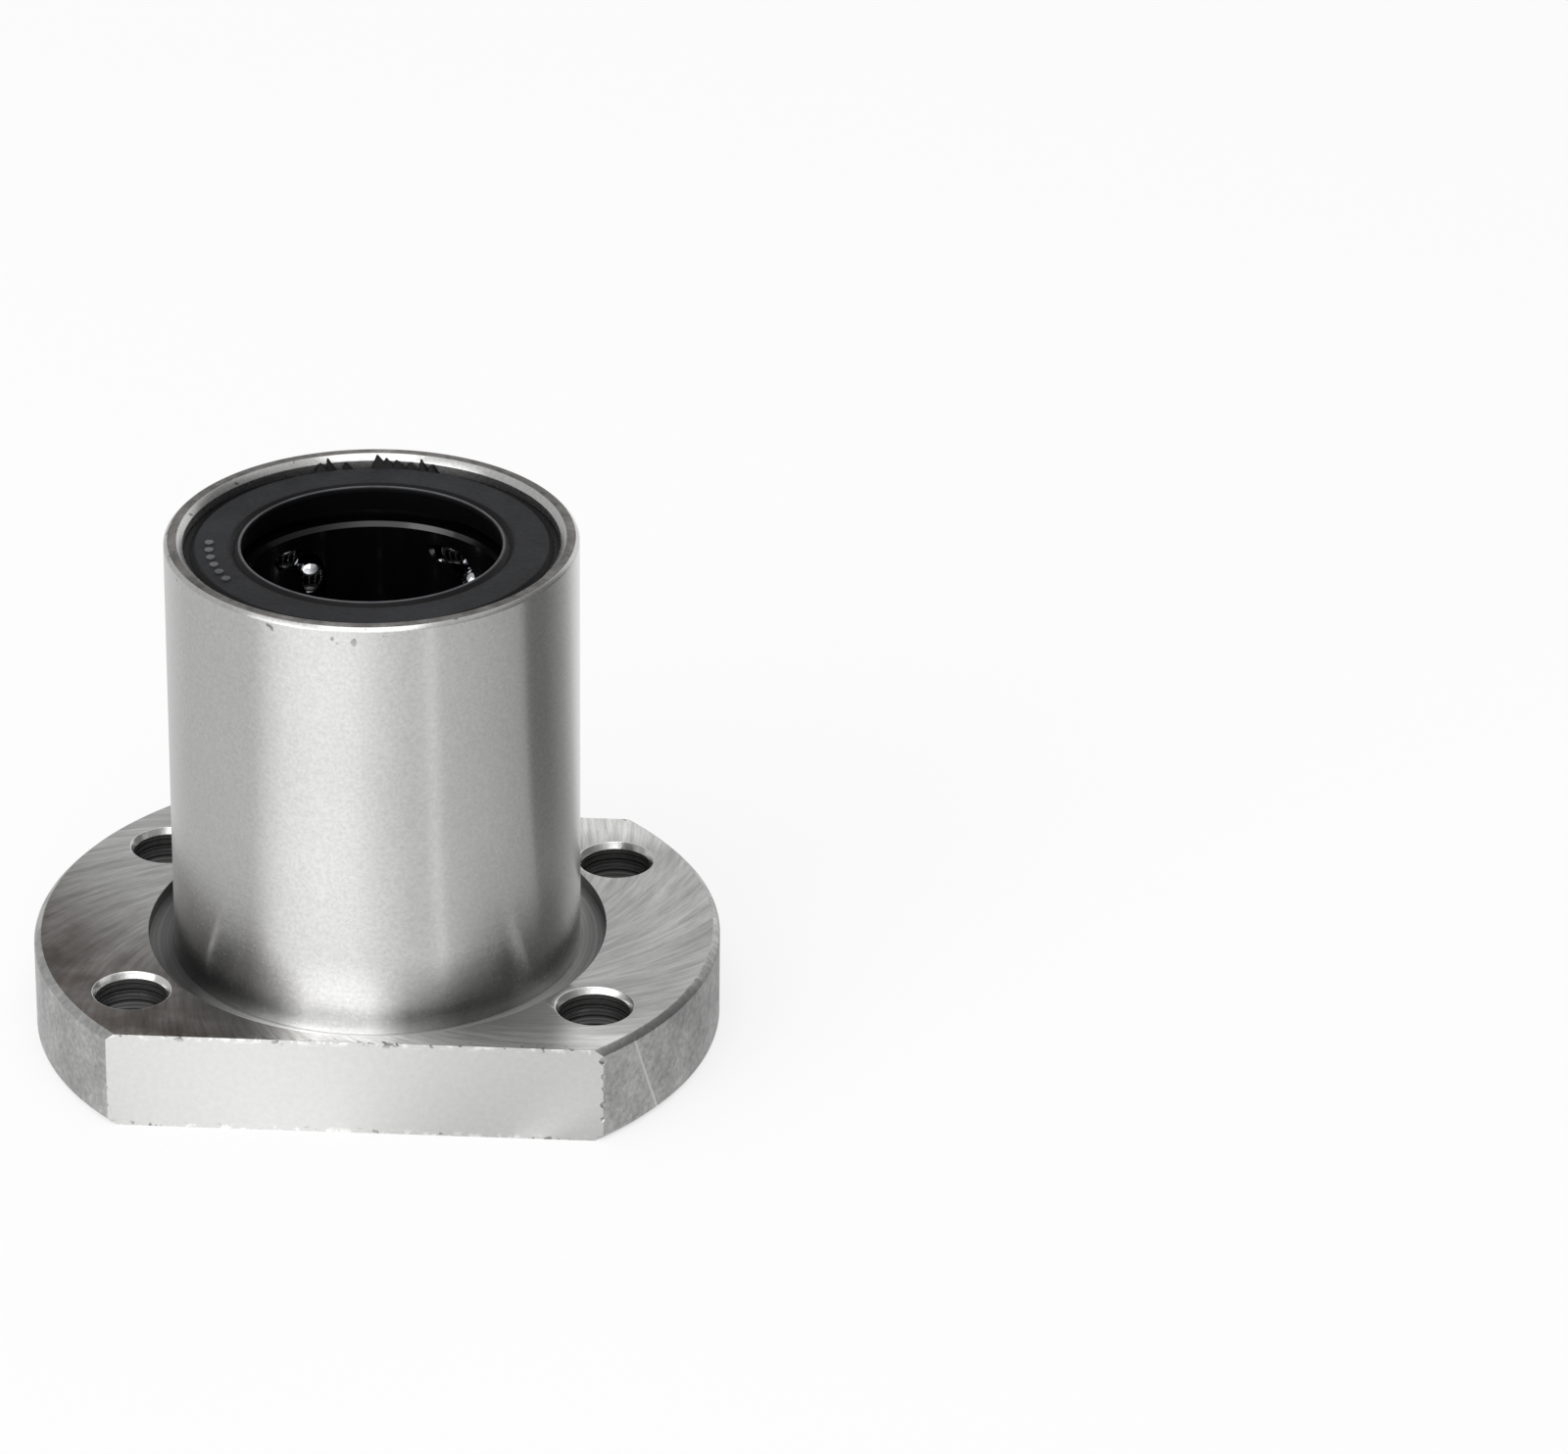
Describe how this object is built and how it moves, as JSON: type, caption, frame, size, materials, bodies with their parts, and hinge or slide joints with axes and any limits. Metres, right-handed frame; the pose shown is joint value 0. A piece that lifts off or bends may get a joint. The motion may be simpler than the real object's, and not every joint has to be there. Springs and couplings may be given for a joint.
{
  "type": "flanged linear ball bushing",
  "caption": "Recirculating-ball linear bushing: steel sleeve with a pressed-on flange cut to two flats, resin ball cage, and lip seals at both ends.",
  "frame": {"origin": "centre of the flange's front face, on the axis; this is the centre of the part's base", "axes": "+Z along the shaft axis from the flange towards the free end of the sleeve; +X along the flange's flats"},
  "size_m": [0.054, 0.038, 0.042],
  "materials": {
    "sleeve_steel": "ground satin",
    "flange_steel": "turned, milled and ground",
    "cage_resin": "moulded, glossy black",
    "spring_steel": "oiled spring steel",
    "seal_rubber": "moulded, matt blue-black",
    "core_steel": "pressed steel",
    "ball_steel": "polished bearing steel"
  },
  "bodies": {
    "bushing": {"outer_sleeve": "sleeve_steel", "flange": "flange_steel", "ball_cage": "cage_resin", "retaining_ring_front": "spring_steel", "retaining_ring_rear": "spring_steel", "seal_front": "seal_rubber", "seal_rear": "seal_rubber", "seal_core_front": "core_steel", "seal_core_rear": "core_steel"},
    "load_row_1": {"load_balls_1": "ball_steel"},
    "return_row_1": {"return_balls_1": "ball_steel"},
    "front_turn_1": {"front_turn_balls_1": "ball_steel"},
    "rear_turn_1": {"rear_turn_balls_1": "ball_steel"},
    "load_row_2": {"load_balls_2": "ball_steel"},
    "return_row_2": {"return_balls_2": "ball_steel"},
    "front_turn_2": {"front_turn_balls_2": "ball_steel"},
    "rear_turn_2": {"rear_turn_balls_2": "ball_steel"},
    "load_row_3": {"load_balls_3": "ball_steel"},
    "return_row_3": {"return_balls_3": "ball_steel"},
    "front_turn_3": {"front_turn_balls_3": "ball_steel"},
    "rear_turn_3": {"rear_turn_balls_3": "ball_steel"},
    "load_row_4": {"load_balls_4": "ball_steel"},
    "return_row_4": {"return_balls_4": "ball_steel"},
    "front_turn_4": {"front_turn_balls_4": "ball_steel"},
    "rear_turn_4": {"rear_turn_balls_4": "ball_steel"},
    "load_row_5": {"load_balls_5": "ball_steel"},
    "return_row_5": {"return_balls_5": "ball_steel"},
    "front_turn_5": {"front_turn_balls_5": "ball_steel"},
    "rear_turn_5": {"rear_turn_balls_5": "ball_steel"}
  },
  "joints": [
    {"name": "load_row_travel_1", "type": "slide", "parent": "bushing", "child": "load_row_1", "axis": [0, 0, 1], "range_m": [-0.0032, 0]},
    {"name": "return_row_travel_1", "type": "slide", "parent": "bushing", "child": "return_row_1", "axis": [0, 0, 1], "range_m": [0, 0.0032]},
    {"name": "front_turn_travel_1", "type": "hinge", "parent": "bushing", "child": "front_turn_1", "pos_m": [0.00583, 0.01046, 0.0082], "axis": [0.6976, 0.7165, 0], "range_deg": [-0.1, 90.1]},
    {"name": "rear_turn_travel_1", "type": "hinge", "parent": "bushing", "child": "rear_turn_1", "pos_m": [0.00583, 0.01046, 0.0338], "axis": [0.6976, 0.7165, 0], "range_deg": [-0.1, 90.1]},
    {"name": "load_row_travel_2", "type": "slide", "parent": "bushing", "child": "load_row_2", "axis": [0, 0, 1], "range_m": [-0.0032, 0]},
    {"name": "return_row_travel_2", "type": "slide", "parent": "bushing", "child": "return_row_2", "axis": [0, 0, 1], "range_m": [0, 0.0032]},
    {"name": "front_turn_travel_2", "type": "hinge", "parent": "bushing", "child": "front_turn_2", "pos_m": [-0.00814, 0.00877, 0.0082], "axis": [-0.4658, 0.8849, 0], "range_deg": [-0.1, 90.1]},
    {"name": "rear_turn_travel_2", "type": "hinge", "parent": "bushing", "child": "rear_turn_2", "pos_m": [-0.00814, 0.00877, 0.0338], "axis": [-0.4658, 0.8849, 0], "range_deg": [-0.1, 90.1]},
    {"name": "load_row_travel_3", "type": "slide", "parent": "bushing", "child": "load_row_3", "axis": [0, 0, 1], "range_m": [-0.0032, 0]},
    {"name": "return_row_travel_3", "type": "slide", "parent": "bushing", "child": "return_row_3", "axis": [0, 0, 1], "range_m": [0, 0.0032]},
    {"name": "front_turn_travel_3", "type": "hinge", "parent": "bushing", "child": "front_turn_3", "pos_m": [-0.01086, -0.00503, 0.0082], "axis": [-0.9855, -0.1696, 0], "range_deg": [-0.1, 90.1]},
    {"name": "rear_turn_travel_3", "type": "hinge", "parent": "bushing", "child": "rear_turn_3", "pos_m": [-0.01086, -0.00503, 0.0338], "axis": [-0.9855, -0.1696, 0], "range_deg": [-0.1, 90.1]},
    {"name": "load_row_travel_4", "type": "slide", "parent": "bushing", "child": "load_row_4", "axis": [0, 0, 1], "range_m": [-0.0032, 0]},
    {"name": "return_row_travel_4", "type": "slide", "parent": "bushing", "child": "return_row_4", "axis": [0, 0, 1], "range_m": [0, 0.0032]},
    {"name": "front_turn_travel_4", "type": "hinge", "parent": "bushing", "child": "front_turn_4", "pos_m": [0.00143, -0.01188, 0.0082], "axis": [-0.1433, -0.9897, 0], "range_deg": [-0.1, 90.1]},
    {"name": "rear_turn_travel_4", "type": "hinge", "parent": "bushing", "child": "rear_turn_4", "pos_m": [0.00143, -0.01188, 0.0338], "axis": [-0.1433, -0.9897, 0], "range_deg": [-0.1, 90.1]},
    {"name": "load_row_travel_5", "type": "slide", "parent": "bushing", "child": "load_row_5", "axis": [0, 0, 1], "range_m": [-0.0032, 0]},
    {"name": "return_row_travel_5", "type": "slide", "parent": "bushing", "child": "return_row_5", "axis": [0, 0, 1], "range_m": [0, 0.0032]},
    {"name": "front_turn_travel_5", "type": "hinge", "parent": "bushing", "child": "front_turn_5", "pos_m": [0.01174, -0.00231, 0.0082], "axis": [0.897, -0.4421, 0], "range_deg": [-0.1, 90.1]},
    {"name": "rear_turn_travel_5", "type": "hinge", "parent": "bushing", "child": "rear_turn_5", "pos_m": [0.01174, -0.00231, 0.0338], "axis": [0.897, -0.4421, 0], "range_deg": [-0.1, 90.1]}
  ],
  "couplings": [
    {"joint": "return_row_travel_1", "follows": "load_row_travel_1", "ratio": -1},
    {"joint": "front_turn_travel_1", "follows": "load_row_travel_1", "rad_per_m": -490.87},
    {"joint": "rear_turn_travel_1", "follows": "load_row_travel_1", "rad_per_m": -490.87},
    {"joint": "return_row_travel_2", "follows": "load_row_travel_2", "ratio": -1},
    {"joint": "front_turn_travel_2", "follows": "load_row_travel_2", "rad_per_m": -490.87},
    {"joint": "rear_turn_travel_2", "follows": "load_row_travel_2", "rad_per_m": -490.87},
    {"joint": "return_row_travel_3", "follows": "load_row_travel_3", "ratio": -1},
    {"joint": "front_turn_travel_3", "follows": "load_row_travel_3", "rad_per_m": -490.87},
    {"joint": "rear_turn_travel_3", "follows": "load_row_travel_3", "rad_per_m": -490.87},
    {"joint": "return_row_travel_4", "follows": "load_row_travel_4", "ratio": -1},
    {"joint": "front_turn_travel_4", "follows": "load_row_travel_4", "rad_per_m": -490.87},
    {"joint": "rear_turn_travel_4", "follows": "load_row_travel_4", "rad_per_m": -490.87},
    {"joint": "return_row_travel_5", "follows": "load_row_travel_5", "ratio": -1},
    {"joint": "front_turn_travel_5", "follows": "load_row_travel_5", "rad_per_m": -490.87},
    {"joint": "rear_turn_travel_5", "follows": "load_row_travel_5", "rad_per_m": -490.87}
  ]
}
